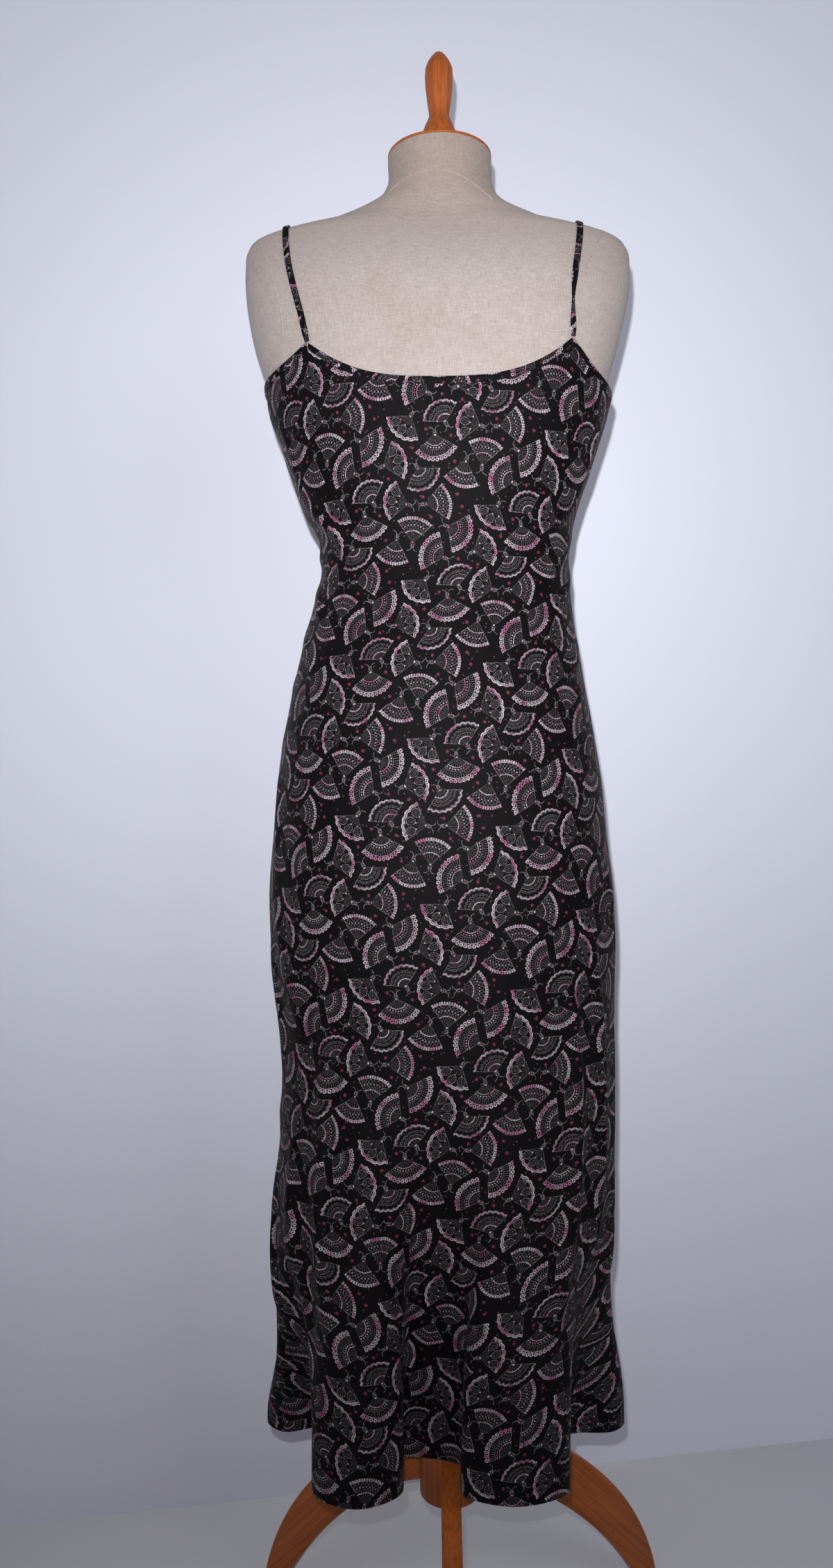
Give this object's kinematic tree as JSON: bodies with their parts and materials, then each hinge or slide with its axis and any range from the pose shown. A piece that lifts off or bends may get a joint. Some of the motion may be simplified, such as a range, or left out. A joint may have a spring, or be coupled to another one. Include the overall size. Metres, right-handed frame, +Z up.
{
  "type": "slip dress on a dress form",
  "caption": "Long bias-cut slip dress with narrow straps and a fluted hem, worn by a limbless linen-covered dress form on a wooden tripod stand.",
  "frame": {"origin": "on the floor, under the middle of the part's box", "axes": "+Z up, +Y the way the dress's back faces, +X towards its left side seam as seen from behind"},
  "size_m": [0.4368, 0.4032, 1.623],
  "materials": {
    "crepe": "matt black crepe with a whitish pink print",
    "linen": "natural linen weave",
    "beech": "stained and satin varnished",
    "pole_metal": "satin"
  },
  "bodies": {
    "root": {"back_panel": "crepe", "front_panel": "crepe", "neck_binding_back": "crepe", "neck_binding_front": "crepe", "armhole_binding_left": "crepe", "armhole_binding_right": "crepe", "strap_left": "crepe", "strap_right": "crepe", "form_torso": "linen", "neck_cap": "beech", "finial": "beech", "pole": "pole_metal", "hub": "beech", "leg_back": "beech", "leg_left": "beech", "leg_right": "beech"}
  },
  "joints": []
}
